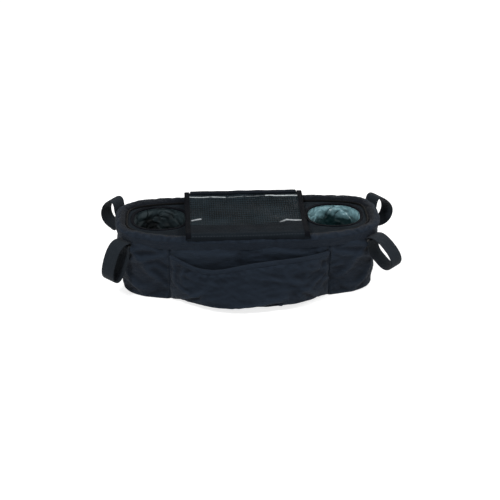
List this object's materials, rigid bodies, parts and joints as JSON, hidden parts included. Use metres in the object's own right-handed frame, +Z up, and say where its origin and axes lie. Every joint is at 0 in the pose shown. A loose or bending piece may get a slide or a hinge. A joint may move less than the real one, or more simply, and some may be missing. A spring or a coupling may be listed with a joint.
{
  "type": "stroller organizer",
  "caption": "Soft padded tray that hangs from a stroller handlebar: two cup wells, a lidded middle compartment with a clear window, a front pocket and webbing corner loops.",
  "frame": {"origin": "on the flat underside of the base, under the middle of the rim", "axes": "+X along the tray to the right seen from the pocket side, +Y to the rear (the side the lid is sewn to), +Z up"},
  "size_m": [0.4329, 0.1827, 0.1145],
  "materials": {
    "cloth": "matt woven polyester, padded",
    "ripstop": "matt ripstop weave",
    "tape": "matt binding tape",
    "webbing": "matt woven webbing",
    "lining": "thin crinkled film lining, satin",
    "mesh": "fine open net",
    "board": "matt",
    "vinyl": "clear soft vinyl, glossy"
  },
  "bodies": {
    "root": {"front_panel": "cloth", "right_side_panel": "cloth", "rear_panel": "cloth", "left_side_panel": "cloth", "base_panel": "cloth", "base_board": "board", "rim_roll": "cloth", "rim_piping": "tape", "collar": "cloth", "left_well_lining": "lining", "right_well_lining": "lining", "centre_lining": "lining", "left_well_binding": "tape", "right_well_binding": "tape", "left_divider": "cloth", "right_divider": "cloth", "front_pocket": "cloth", "front_pocket_hem": "cloth", "lid_panel": "cloth", "lid_front_band": "ripstop", "lid_mesh": "mesh", "lid_window": "vinyl", "lid_binding_left": "tape", "lid_binding_right": "tape", "lid_back_roll": "cloth", "front_left_strap": "webbing", "front_left_hook_tape": "tape", "front_left_loop_tape": "tape", "front_right_strap": "webbing", "front_right_hook_tape": "tape", "front_right_loop_tape": "tape", "rear_left_strap": "webbing", "rear_left_hook_tape": "tape", "rear_left_loop_tape": "tape", "rear_right_strap": "webbing", "rear_right_hook_tape": "tape", "rear_right_loop_tape": "tape"}
  },
  "joints": []
}
